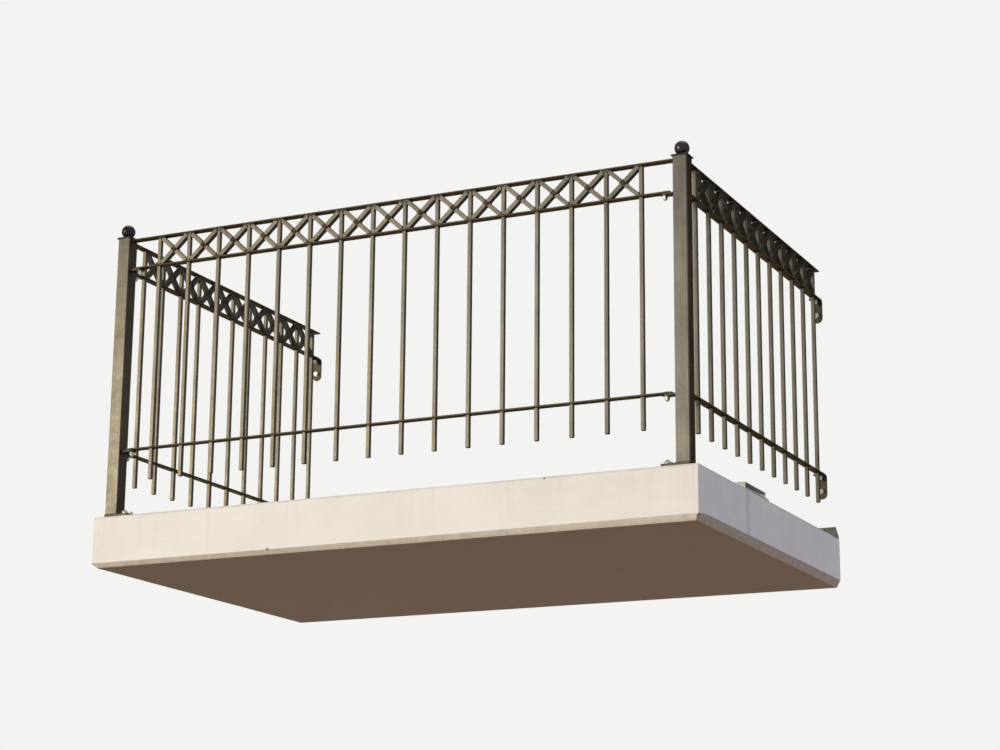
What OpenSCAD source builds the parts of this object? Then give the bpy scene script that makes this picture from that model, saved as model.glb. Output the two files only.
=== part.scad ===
// Balcony slab with a wrought iron railing: two ball-topped posts, three panels of square
// bars under a frieze of crossed braces, bolted to lugs on the posts and to wall brackets.
// Millimetres. X runs along the wall, +Y into the wall, Z up. The origin is in the middle
// of the slab's rear face, which lies on the wall.

/* [Slab] */
// Width of the slab along the wall
slab_w = 2280; // [1600:10:3200]
// How far the slab stands out from the wall
slab_d = 1430; // [1100:10:1900]
// Thickness of the slab
slab_t = 180; // [120:5:260]
// Bevel along the lower edge of the front and the two sides
slab_chamfer = 15; // [8:1:30]
// Small bevel on the top edges and the two front corners
slab_arris = 5; // [2:1:10]

/* [Posts] */
// Outside width of the square post tube
post_w = 50; // [40:1:60]
// Wall thickness of the post tube
post_wall = 3; // [2:0.5:5]
// Outside corner radius of the post tube
post_corner_r = 4; // [2:0.5:8]
// Height of the top of the tube above the slab
post_h = 1030; // [850:10:1200]
// From the front edge of the slab to the front of the post
post_front_inset = 20; // [12:1:60]
// From the side edge of the slab to the outer side of the post
post_side_inset = 35; // [15:1:80]

/* [Post caps and balls] */
// How far the cap plate stands out past the tube on each side
cap_overhang = 4; // [2:1:8]
// Thickness of the cap plate
cap_t = 6; // [4:1:10]
// Bevel round the top of the cap plate
cap_bevel = 2.5; // [1:0.5:3.5]
// Diameter of the ball
ball_d = 50; // [40:1:64]
// Diameter of the collar under the ball
collar_d = 28; // [20:1:36]
// Height of the collar under the ball
collar_h = 4; // [2:1:10]

/* [Base plates] */
// How far the base plate reaches inwards past the post
plate_reach = 50; // [42:1:80]
// How far the base plate shows in front of the post and behind it
plate_margin = 5; // [3:1:12]
// Thickness of the base plate
plate_t = 10; // [6:1:16]
// Corner radius of the base plate
plate_corner_r = 4; // [1:1:10]
// Diameter of the two anchor holes in the base plate
plate_hole_d = 11; // [9:0.5:14]
// From the post to the line of the two anchor holes
plate_hole_offset = 30; // [24:1:34]
// Distance between the two anchor holes
plate_hole_pitch = 36; // [28:1:40]

/* [Rails] */
// Width of the flat bars that the rails are made of
rail_w = 30; // [26:1:40]
// Thickness of the top rail at the crown of its arch
top_rail_t = 10; // [7:1:14]
// Height of the top rail's upright edges, below the arch
top_rail_edge_h = 3; // [2:0.5:5]
// Thickness of the frieze rail and the bottom rail
low_rail_t = 6; // [5:1:10]
// Clear height between the frieze rail and the top rail
frieze_h = 102; // [80:1:140]
// Height of the underside of the bottom rail above the slab
bottom_rail_z = 240; // [200:5:320]
// Gap between the end of a lower rail and the post
rail_post_gap = 15; // [8:1:18]
// Gap between the end of a side rail and the wall
rail_wall_gap = 8; // [4:1:12]

/* [Bars] */
// Width of the upright square bars
bar_w = 14; // [10:1:18]
// Height of the cut foot of the bars above the slab
bar_foot_z = 130; // [80:5:190]
// Number of bars in the front panel
front_bars_n = 16; // [12:1:19]
// Number of bars in each side panel
side_bars_n = 11; // [8:1:13]
// From the post to the middle of the first side bar
side_bar_first = 88; // [66:1:100]
// From the wall to the middle of the last side bar
side_bar_last = 50; // [48:1:90]
// Clearance round a bar in its punched hole
bar_fit = 0.3; // [0.2:0.1:0.6]

/* [Frieze braces] */
// Width of a brace seen from the front
brace_w = 15; // [10:1:18]
// Depth of a brace from front to back
brace_t = 20; // [10:1:24]

/* [Post lugs] */
// Thickness of the lugs
lug_t = 6; // [5:1:10]
// From the post to the middle of the bolt hole
lug_bolt = 35; // [32:1:42]
// Diameter of the bolt holes in the lugs, rails and brackets
bolt_hole_d = 11; // [9:0.5:13]

/* [Wall brackets] */
// Width of the bracket's bent flat bar
bracket_w = 40; // [32:1:50]
// Thickness of the bracket
bracket_t = 6; // [5:1:8]
// Reach of the upper leg out from the wall
bracket_reach = 40; // [36:1:42]
// Length of the leg on the wall, from the top of the bracket
bracket_drop = 90; // [80:1:120]
// Inside radius of the bend
bracket_bend_r = 6; // [3:1:7]
// From the wall to the middle of the rail bolt
bracket_bolt = 24; // [22:1:27]
// From the top of the bracket down to the middle of the anchor hole
anchor_drop = 62; // [40:1:66]
// Diameter of the anchor holes
anchor_hole_d = 11; // [9:0.5:13]

/* [Flashing and drain outlet] */
// Thickness of the folded sheet
sheet_t = 2; // [1:0.5:3]
// Height of the flashing up the wall
flash_h = 44; // [30:1:90]
// Width of the flashing's foot on the slab
flash_foot = 60; // [30:1:100]
// Height of the doubled hem along the flashing's top edge
flash_hem = 10; // [6:1:20]
// Length of the drain outlet along the slab's edge
outlet_l = 200; // [120:5:300]
// Height of the drain outlet
outlet_h = 24; // [16:1:40]
// Depth of the drain outlet, in from the slab's edge
outlet_d = 60; // [40:1:90]
// From the slab's front edge to the middle of the drain outlet
outlet_from_front = 540; // [350:10:900]

/* [Hidden] */
$fn = 64;

paint = [0.36, 0.34, 0.30];
dark_paint = [0.20, 0.19, 0.20];
// How far a cutter runs past the face that it cuts
past = 1;
// Smallest radius of the tube's inside corners
min_corner_r = 0.5;

// Heights, from the top of the slab at z = 0 of the railing
top_rail_z = post_h - top_rail_t;
frieze_rail_z = top_rail_z - frieze_h - low_rail_t;
deck_z = slab_t / 2;

// Places of the posts and of the panels' middle planes
post_x = slab_w / 2 - post_side_inset - post_w / 2;
post_y = -slab_d + post_front_inset + post_w / 2;
post_inner_x = post_x - post_w / 2;
post_rear_y = post_y + post_w / 2;

// Middles of the upright bars
front_gap = (2 * post_inner_x - front_bars_n * bar_w) / (front_bars_n + 1);
front_bars_at = [for (i = [0:front_bars_n - 1]) -post_inner_x + (i + 1) * (front_gap + bar_w) - bar_w / 2];
side_from = post_rear_y + side_bar_first;
side_pitch = (-side_bar_last - side_from) / (side_bars_n - 1);
side_bars_at = [for (i = [0:side_bars_n - 1]) side_from + i * side_pitch];

// Middles of the bolts through the lower rails
front_bolts_at = [-post_inner_x + lug_bolt, post_inner_x - lug_bolt];
side_bolts_at = [post_rear_y + lug_bolt, -bracket_bolt];

ball_seat_r = collar_d / 2;
ball_rise = sqrt(ball_d * ball_d / 4 - ball_seat_r * ball_seat_r);

// Square with round corners, its middle at the origin
module round_square(size, r) {
    inset = [size.x / 2 - r, size.y / 2 - r];
    square([size.x, size.y - 2 * r], center = true);
    square([size.x - 2 * r, size.y], center = true);
    for (sx = [-1, 1], sy = [-1, 1])
        translate([sx * inset.x, sy * inset.y]) circle(r);
}

// Block from x0 to x1 and z0 to z1, with a section drawn in Y and Z run along X
module along_x(x0, x1) {
    translate([x0, 0, 0]) rotate([90, 0, 90]) linear_extrude(x1 - x0) children();
}

// Turns a panel that runs along X so that it runs along Y, out at one of the posts
module side_panel(side) {
    translate([side * post_x, 0, 0]) rotate([0, 0, 90]) children();
}

// Slab: three outlines cut from each other leave the bevels mitred at the corners
module slab() {
    w = slab_w / 2;
    t = slab_t / 2;
    c = slab_chamfer;
    a = slab_arris;
    color("whitesmoke")
    intersection() {
        translate([0, 0, -t]) linear_extrude(slab_t) polygon([
            [-w, 0], [-w, -slab_d + a], [-w + a, -slab_d],
            [w - a, -slab_d], [w, -slab_d + a], [w, 0]]);
        along_x(-w, w) polygon([
            [0, -t], [0, t], [-slab_d + a, t], [-slab_d, t - a],
            [-slab_d, -t + c], [-slab_d + c, -t]]);
        rotate([90, 0, 0]) linear_extrude(slab_d) polygon([
            [-w + c, -t], [-w, -t + c], [-w, t - a], [-w + a, t],
            [w - a, t], [w, t - a], [w, -t + c], [w - c, -t]]);
    }
}

// Folded sheet in the corner of slab and wall, its top edge turned over into a hem
module wall_flashing() {
    color("slategray")
    translate([0, 0, deck_z])
    along_x(-slab_w / 2, slab_w / 2) union() {
        translate([-flash_foot, 0]) square([flash_foot, sheet_t]);
        translate([-sheet_t, 0]) square([sheet_t, flash_h]);
        translate([-2 * sheet_t, flash_h - flash_hem]) square([2 * sheet_t, flash_hem]);
    }
}

// Flat sheet-metal sleeve that lets water off the slab's right edge
module drain_outlet() {
    color("slategray")
    translate([slab_w / 2 - slab_arris - outlet_d, -slab_d + outlet_from_front - outlet_l / 2, deck_z])
    difference() {
        cube([outlet_d, outlet_l, outlet_h]);
        translate([-past, sheet_t, sheet_t])
            cube([outlet_d + 2 * past, outlet_l - 2 * sheet_t, outlet_h - 2 * sheet_t]);
    }
}

// Square tube from the base plate up to the cap plate
module post(side) {
    color(paint)
    translate([side * post_x, post_y, deck_z + plate_t])
    linear_extrude(post_h - plate_t) difference() {
        round_square([post_w, post_w], post_corner_r);
        round_square([post_w - 2 * post_wall, post_w - 2 * post_wall],
            max(post_corner_r - post_wall, min_corner_r));
    }
}

// Plate that closes the tube: two bevelled outlines cut from each other
module post_cap(side) {
    h = post_w / 2 + cap_overhang;
    outline = [[-h, 0], [h, 0], [h, cap_t - cap_bevel], [h - cap_bevel, cap_t],
        [-h + cap_bevel, cap_t], [-h, cap_t - cap_bevel]];
    color(dark_paint)
    translate([side * post_x, post_y, deck_z + post_h])
    intersection() {
        along_x(-h, h) polygon(outline);
        translate([0, h, 0]) rotate([90, 0, 0]) linear_extrude(2 * h) polygon(outline);
    }
}

// Ball and collar, turned in one piece; the ball is cut flat where the collar meets it
module post_ball(side) {
    color(dark_paint)
    translate([side * post_x, post_y, deck_z + post_h + cap_t])
    union() {
        cylinder(h = collar_h, d = collar_d);
        intersection() {
            translate([0, 0, collar_h + ball_rise]) sphere(d = ball_d);
            translate([-ball_d, -ball_d, collar_h]) cube([2 * ball_d, 2 * ball_d, 2 * ball_d]);
        }
    }
}

// Plate under the post, flush with its outer side and bolted down on the inner side
module base_plate(side) {
    l = post_w + plate_reach;
    color(paint)
    translate([side * (post_x - plate_reach / 2), post_y, deck_z])
    linear_extrude(plate_t) difference() {
        round_square([l, post_w + 2 * plate_margin], plate_corner_r);
        for (s = [-1, 1])
            translate([side * (plate_reach / 2 - post_w / 2 - plate_hole_offset), s * plate_hole_pitch / 2])
                circle(d = plate_hole_d);
    }
}

// Top rail: a handrail section, flat below and arched on top, lying on the ends of the upright bars
module top_rail(x0, x1) {
    rise = top_rail_t - top_rail_edge_h;
    arch_r = (rail_w * rail_w / 4 + rise * rise) / (2 * rise);
    translate([0, 0, deck_z + top_rail_z])
    along_x(x0, x1) union() {
        translate([-rail_w / 2, 0]) square([rail_w, top_rail_edge_h]);
        intersection() {
            translate([0, top_rail_t - arch_r]) circle(arch_r);
            translate([-rail_w / 2, top_rail_edge_h]) square([rail_w, rise]);
        }
    }
}

// Lower rail: a flat bar punched with a square hole for each upright and drilled for bolts
module punched_rail(x0, x1, z, bars_at, bolts_at) {
    hole = bar_w + 2 * bar_fit;
    translate([0, 0, deck_z + z])
    linear_extrude(low_rail_t) difference() {
        translate([x0, -rail_w / 2]) square([x1 - x0, rail_w]);
        for (x = bars_at) translate([x, 0]) square(hole, center = true);
        for (x = bolts_at) translate([x, 0]) circle(d = bolt_hole_d);
    }
}

// Upright bars, through both lower rails and up to the top rail
module upright_bars(bars_at) {
    for (x = bars_at)
        translate([x - bar_w / 2, -bar_w / 2, deck_z + bar_foot_z])
            cube([bar_w, bar_w, top_rail_z - bar_foot_z]);
}

// Two crossed braces, fused where they cross and mitred into the corners of their bay
module crossed_braces(w, h) {
    slope = atan2(h, w);
    rotate([90, 0, 0]) translate([0, 0, -brace_t / 2])
    linear_extrude(brace_t) intersection() {
        square([w, h], center = true);
        union() {
            rotate(slope) square([w + h, brace_w], center = true);
            rotate(-slope) square([w + h, brace_w], center = true);
        }
    }
}

// One pair of crossed braces between each two neighbouring bars
module frieze_braces(bars_at) {
    for (i = [0:len(bars_at) - 2])
        translate([(bars_at[i] + bars_at[i + 1]) / 2, 0, deck_z + top_rail_z - frieze_h / 2])
            crossed_braces(bars_at[i + 1] - bars_at[i] - bar_w, frieze_h);
}

// Welded tab that a rail end is bolted to, with its foot on the Y axis
module lug() {
    linear_extrude(lug_t) difference() {
        union() {
            translate([0, -rail_w / 2]) square([lug_bolt, rail_w]);
            translate([lug_bolt, 0]) circle(d = rail_w);
        }
        translate([lug_bolt, 0]) circle(d = bolt_hole_d);
    }
}

// The two lugs of one post under the rails at height z: one to the front panel, one to the side
module post_lugs(side, z) {
    color(paint)
    translate([0, 0, deck_z + z - lug_t]) {
        translate([side * post_inner_x, post_y, 0]) rotate([0, 0, side > 0 ? 180 : 0]) lug();
        translate([side * post_x, post_rear_y, 0]) rotate([0, 0, 90]) lug();
    }
}

// Bent flat bar under the wall end of a side rail at height z
module wall_bracket(side, z) {
    r_out = bracket_bend_r + bracket_t;
    color(paint)
    translate([side * post_x, 0, deck_z + z])
    difference() {
        union() {
            bracket_bar(r_out);
            bracket_foot();
        }
        translate([0, -bracket_bolt, -bracket_t - past])
            cylinder(h = bracket_t + 2 * past, d = bolt_hole_d);
        translate([0, past, -anchor_drop]) rotate([90, 0, 0])
            cylinder(h = bracket_t + 2 * past, d = anchor_hole_d);
    }
}

// The two legs and the bend, as far down as the round end
module bracket_bar(r_out) {
    along_x(-bracket_w / 2, bracket_w / 2) union() {
        translate([-bracket_reach, -bracket_t]) square([bracket_reach - r_out, bracket_t]);
        translate([-bracket_t, -bracket_drop + bracket_w / 2])
            square([bracket_t, bracket_drop - bracket_w / 2 - r_out]);
        translate([-r_out, -r_out]) intersection() {
            difference() {
                circle(r_out);
                circle(bracket_bend_r);
            }
            square(r_out);
        }
    }
}

// Round end of the leg on the wall
module bracket_foot() {
    translate([0, 0, -bracket_drop + bracket_w / 2]) rotate([90, 0, 0])
        cylinder(h = bracket_t, d = bracket_w);
}

module front_top_rail() {
    color(paint) translate([0, post_y, 0]) top_rail(-post_inner_x, post_inner_x);
}

module front_punched_rail(z) {
    reach = post_inner_x - rail_post_gap;
    color(paint) translate([0, post_y, 0])
        punched_rail(-reach, reach, z, front_bars_at, front_bolts_at);
}

module front_bars() {
    color(paint) translate([0, post_y, 0]) upright_bars(front_bars_at);
}

module front_frieze_braces() {
    color(paint) translate([0, post_y, 0]) frieze_braces(front_bars_at);
}

module side_top_rail(side) {
    color(paint) side_panel(side) top_rail(post_rear_y, -rail_wall_gap);
}

module side_punched_rail(side, z) {
    color(paint) side_panel(side)
        punched_rail(post_rear_y + rail_post_gap, -rail_wall_gap, z, side_bars_at, side_bolts_at);
}

module side_bars(side) {
    color(paint) side_panel(side) upright_bars(side_bars_at);
}

module side_frieze_braces(side) {
    color(paint) side_panel(side) frieze_braces(side_bars_at);
}

slab();
wall_flashing();
drain_outlet();
post(-1);  // left_post
post(1);  // right_post
post_cap(-1);  // left_post_cap
post_cap(1);  // right_post_cap
post_ball(-1);  // left_post_ball
post_ball(1);  // right_post_ball
base_plate(-1);  // left_base_plate
base_plate(1);  // right_base_plate
front_top_rail();
front_punched_rail(frieze_rail_z);  // front_frieze_rail
front_punched_rail(bottom_rail_z);  // front_bottom_rail
front_bars();
front_frieze_braces();
side_top_rail(-1);  // left_top_rail
side_punched_rail(-1, frieze_rail_z);  // left_frieze_rail
side_punched_rail(-1, bottom_rail_z);  // left_bottom_rail
side_bars(-1);  // left_bars
side_frieze_braces(-1);  // left_frieze_braces
side_top_rail(1);  // right_top_rail
side_punched_rail(1, frieze_rail_z);  // right_frieze_rail
side_punched_rail(1, bottom_rail_z);  // right_bottom_rail
side_bars(1);  // right_bars
side_frieze_braces(1);  // right_frieze_braces
post_lugs(-1, frieze_rail_z);  // left_upper_lugs
post_lugs(-1, bottom_rail_z);  // left_lower_lugs
post_lugs(1, frieze_rail_z);  // right_upper_lugs
post_lugs(1, bottom_rail_z);  // right_lower_lugs
wall_bracket(-1, frieze_rail_z);  // left_upper_wall_bracket
wall_bracket(-1, bottom_rail_z);  // left_lower_wall_bracket
wall_bracket(1, frieze_rail_z);  // right_upper_wall_bracket
wall_bracket(1, bottom_rail_z);  // right_lower_wall_bracket
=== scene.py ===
"""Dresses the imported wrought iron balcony: painted iron, painted slab, zinc sheet and fasteners."""
from math import atan2, copysign, cos, pi, radians, sin, sqrt

import bmesh
import bpy
from mathutils import Matrix, Vector, noise


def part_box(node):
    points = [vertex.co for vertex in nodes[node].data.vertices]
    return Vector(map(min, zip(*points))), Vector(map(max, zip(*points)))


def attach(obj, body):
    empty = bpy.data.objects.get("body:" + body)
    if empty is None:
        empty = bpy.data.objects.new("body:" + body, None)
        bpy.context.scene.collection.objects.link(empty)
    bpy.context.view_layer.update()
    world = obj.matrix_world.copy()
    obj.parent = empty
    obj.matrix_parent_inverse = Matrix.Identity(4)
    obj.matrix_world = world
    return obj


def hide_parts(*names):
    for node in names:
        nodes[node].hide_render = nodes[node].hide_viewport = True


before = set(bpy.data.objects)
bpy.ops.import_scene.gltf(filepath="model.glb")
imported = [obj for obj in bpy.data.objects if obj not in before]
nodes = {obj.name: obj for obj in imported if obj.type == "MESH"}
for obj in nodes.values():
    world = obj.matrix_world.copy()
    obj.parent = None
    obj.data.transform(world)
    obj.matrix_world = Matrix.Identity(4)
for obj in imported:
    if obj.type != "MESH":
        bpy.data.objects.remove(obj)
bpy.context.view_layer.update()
scene = bpy.context.scene
MM = 0.001

# Bars, braces and rails, in metres; an EDGE is the radius of an eased corner
BARS = {"front": 16, "left": 11, "right": 11}
BAR_W = 14 * MM
BAR_HOLE = 14.6 * MM
BAR_EDGE = 1.7 * MM
OUT_OF_SQUARE = 0.008  # the most that a bar is turned, in radians
BRACE_W = 15 * MM
BRACE_D = 20 * MM
FALLING_D = 18 * MM  # depth of the falling brace of each pair
BRACE_EDGE = 0.8 * MM
RAIL_W = 30 * MM
RAIL_T = 6 * MM
RAIL_EDGE = 2.5 * MM
TOP_RAIL_T = 10 * MM
TOP_RAIL_SIDE = 3 * MM  # height of the top rail's upright sides, below its arch
TOP_RAIL_EDGE = 1.3 * MM
CUT_LIP = 1 * MM  # length of the small bevel at a cut end

# Bolts, nuts, anchors and the holes they go through
LUG_BOLT = 35 * MM  # from the face of the post
BRACKET_BOLT = 24 * MM  # from the plane of the slab's rear face
BRACKET_T = 6 * MM
ANCHOR_DROP = 62 * MM  # from the top of the bracket
PLATE_HOLE = 30 * MM  # from the face of the post
PLATE_PITCH = 36 * MM  # between the two holes of a plate
BOLT_HOLE = 11 * MM
SHANK_R = 5 * MM
WASHER_R = 10 * MM
BOLT_WASHER_T = 1.6 * MM
ANCHOR_WASHER_T = 1.8 * MM
NUT_ACROSS = 17 * MM
DOMED_NUT_H = 6.5 * MM
ANCHOR_NUT_H = 7.2 * MM
PLATE_STUD_H = 13 * MM
WALL_STUD_H = 12 * MM

# Beads of weld
FRIEZE_BEAD_R = 2.7 * MM
CROSSING_BEAD_R = 3 * MM
POST_BEAD_R = 2.6 * MM
RIPPLE_STEP = 1.5 * MM
WEAVE_STEP = 2.2 * MM
LUG_BEAD_HALF = 13 * MM

# Slab: its lower bevel is taller at the right end of the front, and tallest along the right side
CHAMFER = 15 * MM
CHAMFER_GAIN_FRONT = 5 * MM
CHAMFER_GAIN_SIDE = 7 * MM
UNCHANGED_ABOVE = 45 * MM  # from the slab's underside
ARRIS = 5 * MM
FACE_WEAR = 0.8 * MM

# Sheet pieces, mortar and balls
SHEET_T = 2 * MM
FOLD_R = 4 * MM
HEM_H = 10 * MM
END_CUT = 12 * MM
BED_IN = 16 * MM  # middle of the mortar bed, from the right edge of the outlet
BED_ALONG = 118 * MM  # and from its front end
BED_HALF = (20 * MM, 132 * MM, 6.5 * MM)
BED_SEED = 1
COLLAR_R = 14 * MM
COLLAR_H = 4 * MM
NECK_R = 12.6 * MM
BALL_SIDES = 56
BALL_RINGS = 26

# Places and directions that the pieces are set out from
post_low, post_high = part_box("right_post")
post_middle = (post_low + post_high) / 2
POST_X, POST_Y = post_middle.x, post_middle.y
POST_HALF = (post_high.x - post_low.x) / 2
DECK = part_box("slab")[1].z
FRIEZE_Z = DECK + 0.97
FLOOR_Z = -3.2
# Faces turned this way get the painted lit tone of the iron paint
PAINTED_LIGHT_FACING = (-0.12, -0.99, 0.0)
SIDES = {"left": -1, "right": 1}
LEVELS = {"frieze": "upper", "bottom": "lower"}


# Nodes

class Wiring:
    """Adds nodes to a tree, and does arithmetic on their sockets and on plain values."""

    def __init__(self, tree):
        self.tree = tree

    def put(self, kind, out=0, plugs=None, **settings):
        """Adds a node with its settings, plugs in values or sockets, and gives one of its outputs."""
        node = self.tree.nodes.new(kind)
        for name, value in settings.items():
            setattr(node, name, value)
        for name, value in (plugs or {}).items():
            for one in value if isinstance(value, list) else [value]:
                if isinstance(one, bpy.types.NodeSocket):
                    self.tree.links.new(one, node.inputs[name])
                else:
                    node.inputs[name].default_value = one
        return node.outputs[out]

    def sums(self, operation, *values):
        """One step of arithmetic, on one value or two."""
        return self.put("ShaderNodeMath", plugs=dict(enumerate(values)), operation=operation)

    def plus(self, first, *others):
        """Adds up two or more values."""
        for other in others:
            first = self.sums("ADD", first, other)
        return first

    def less(self, a, b):
        """Takes b from a."""
        return self.sums("SUBTRACT", a, b)

    def times(self, first, *others):
        """Multiplies two or more values."""
        for other in others:
            first = self.sums("MULTIPLY", first, other)
        return first


class Recipe(Wiring):
    """A Geometry Nodes tree being built: named sizes go in, one finished piece comes out."""

    def __init__(self, name):
        super().__init__(bpy.data.node_groups.new(name, "GeometryNodeTree"))
        self.tree.is_modifier = True
        self.inputs = {}
        self.entry = self.tree.nodes.new("NodeGroupInput")
        self.given = self.size("outline", "Geometry")

    def size(self, name, kind="Float"):
        """A named input of the tree."""
        socket = self.tree.interface.new_socket(name, in_out="INPUT", socket_type="NodeSocket" + kind)
        self.inputs[name] = socket.identifier
        return self.entry.outputs[name]

    def sizes(self, *names):
        """Several inputs that are lengths or shares."""
        return [self.size(name) for name in names]

    def counts(self, *names):
        """Several inputs that are whole numbers."""
        return [self.size(name, "Int") for name in names]

    def at(self, x=0.0, y=0.0, z=0.0):
        """A place, or the factors of a scale."""
        return self.put("ShaderNodeCombineXYZ", plugs={0: x, 1: y, 2: z})

    def vectors(self, operation, a, b=(0.0, 0.0, 0.0)):
        """One step of arithmetic on vectors; SCALE takes a plain value second."""
        second = "Scale" if operation == "SCALE" else 1
        return self.put("ShaderNodeVectorMath", plugs={0: a, second: b}, operation=operation)

    def section(self):
        """The outline that was given, as a curve to sweep."""
        return self.put("GeometryNodeMeshToCurve", plugs={"Mesh": self.given})

    def line(self, start, end, count):
        """A straight line of evenly spaced points, to sweep along."""
        line = self.put("GeometryNodeCurvePrimitiveLine", plugs={"Start": start, "End": end})
        return self.put("GeometryNodeResampleCurve", plugs={"Curve": line, "Count": count}, mode="COUNT")

    def swept(self, section, start, end, steps, drawn_in, lip=CUT_LIP):
        """A section carried along a straight line; it draws in a little over a short lip at each end."""
        path = self.line(start, end, steps)
        along = self.vectors("NORMALIZE", self.vectors("SUBTRACT", end, start))
        step = self.vectors("SCALE", along, lip)
        index = self.put("GeometryNodeSplineParameter", 2)
        for nearest, place in ((1, self.vectors("ADD", start, step)),
                               (steps - 2, self.vectors("SUBTRACT", end, step))):
            here = self.put("FunctionNodeCompare", plugs={2: index, 3: nearest},
                            data_type="INT", operation="EQUAL")
            path = self.put("GeometryNodeSetPosition", plugs={
                "Geometry": path, "Selection": here, "Position": place})
        ends = self.put("GeometryNodeCurveEndpointSelection", plugs={"Start Size": 1, "End Size": 1})
        return self.tube(path, section, self.less(1.0, self.times(ends, drawn_in)))

    def tube(self, path, section, scale):
        """A closed skin round a path; the scale may change from point to point."""
        return self.put("GeometryNodeCurveToMesh", plugs={
            "Curve": path, "Profile Curve": section, "Scale": scale, "Fill Caps": True})

    def row(self, piece, first, last, count, turn=(0.0, 0.0, 0.0)):
        """Copies of a piece, evenly spaced along X from first to last."""
        line = self.put("GeometryNodeMeshLine", plugs={
            "Count": count, "Start Location": self.at(first), "Offset": self.at(last)}, mode="END_POINTS")
        return self.copies(piece, line, turn)

    def copies(self, piece, points, turn):
        """A real copy of a piece on each point."""
        copies = self.put("GeometryNodeInstanceOnPoints", plugs={
            "Points": points, "Instance": piece, "Rotation": turn})
        return self.put("GeometryNodeRealizeInstances", plugs={"Geometry": copies})

    def spin(self, most, seed):
        """A small turn about Z, different for each copy."""
        angle = self.put("FunctionNodeRandomValue", 1, {2: self.times(most, -1.0), 3: most, "Seed": seed},
                         data_type="FLOAT")
        return self.put("FunctionNodeAxisAngleToRotation", plugs={"Axis": (0.0, 0.0, 1.0), "Angle": angle})

    def noise(self, out, scale, detail, seed):
        """Smooth noise in space, moved along by the seed."""
        place = self.vectors("ADD", self.put("GeometryNodeInputPosition"), self.at(seed, seed, seed))
        return self.put("ShaderNodeTexNoise", out, {"Vector": place, "Scale": scale, "Detail": detail})

    def uneven(self, mesh, amount, scale, seed):
        """Pushes the surface about a little, as rolling and hammering leave it."""
        wave = self.noise("Color", scale, 1.0, seed)
        push = self.vectors("SCALE", self.vectors("SUBTRACT", wave, (0.5, 0.5, 0.5)), amount)
        return self.put("GeometryNodeSetPosition", plugs={"Geometry": mesh, "Offset": push})

    def cut(self, operation, parts, body=None):
        """Joins or crosses solids, or takes them out of a body."""
        plugs = {"Mesh 2": list(parts)}
        if body is not None:
            plugs["Mesh 1"] = body
        return self.put("GeometryNodeMeshBoolean", plugs=plugs, operation=operation, solver="EXACT")

    def moved(self, piece, place=(0.0, 0.0, 0.0), scale=(1.0, 1.0, 1.0)):
        """A piece scaled about the origin and then moved."""
        return self.put("GeometryNodeTransform", plugs={
            "Geometry": piece, "Translation": place, "Scale": scale})

    def join(self, *parts):
        """Several parts as one geometry, which need not touch."""
        return self.put("GeometryNodeJoinGeometry", plugs={"Geometry": list(parts)[::-1]})

    def finish(self, result):
        """Turns and places the piece, makes its copies real and gives it its finish."""
        turn = self.size("turn", "Rotation")
        place = self.size("place", "Vector")
        coat = self.size("finish", "Material")
        placed = self.put("GeometryNodeTransform", plugs={
            "Geometry": result, "Rotation": turn, "Translation": place})
        real = self.put("GeometryNodeRealizeInstances", plugs={"Geometry": placed})
        coated = self.put("GeometryNodeSetMaterial", plugs={"Geometry": real, "Material": coat})
        self.tree.interface.new_socket("piece", in_out="OUTPUT", socket_type="NodeSocketGeometry")
        self.tree.links.new(coated, self.tree.nodes.new("NodeGroupOutput").inputs[0])
        return self


# Recipes of the panels

def bars_recipe():
    """Upright bars in one row, each with a cut foot, standing a hair out of square."""
    r = Recipe("upright_bars")
    first, last, foot, top, lip, unevenness = r.sizes(
        "first bar", "last bar", "foot", "top", "cut lip", "unevenness")
    count, seed = r.counts("number of bars", "seed")
    drawn_in = r.sums("DIVIDE", r.times(lip, 2.0), BAR_W)
    bar = r.swept(r.section(), r.at(z=foot), r.at(z=top), steps=26, drawn_in=drawn_in, lip=lip)
    bars = r.row(bar, first, last, count, r.spin(OUT_OF_SQUARE, seed))
    return r.finish(r.uneven(bars, unevenness, scale=9.0, seed=seed))


def braces_recipe():
    """Crossed braces, mitred into the corners of each bay; on the street side the rising ones stand proud."""
    r = Recipe("crossed_braces")
    first, last, wide, high, middle, unevenness, thinner, set_back = r.sizes(
        "first bay", "last bay", "bay width", "bay height", "middle height", "unevenness",
        "falling depth share", "falling set back")
    count, seed = r.counts("number of bays", "seed")
    section = r.section()
    shallow = r.moved(section, scale=r.at(thinner, 1.0, 1.0))
    # Each brace runs a little past the corners, and the bay trims it
    past = 0.58
    across, up = r.times(wide, past), r.times(high, past)
    back, down = r.times(across, -1.0), r.times(up, -1.0)
    rising = r.swept(section, r.at(back, 0.0, down), r.at(across, 0.0, up), steps=8, drawn_in=0.02)
    falling = r.swept(shallow, r.at(back, 0.0, up), r.at(across, 0.0, down), steps=8, drawn_in=0.02)
    falling = r.moved(falling, r.at(0.0, set_back, 0.0))
    bay = r.put("GeometryNodeMeshCube", plugs={"Size": r.at(wide, 100 * MM, high)})
    pair = r.cut("INTERSECT", [r.cut("UNION", [rising, falling]), bay])
    pairs = r.row(r.moved(pair, r.at(z=middle)), first, last, count)
    return r.finish(r.uneven(pairs, unevenness, scale=30.0, seed=seed))


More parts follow.
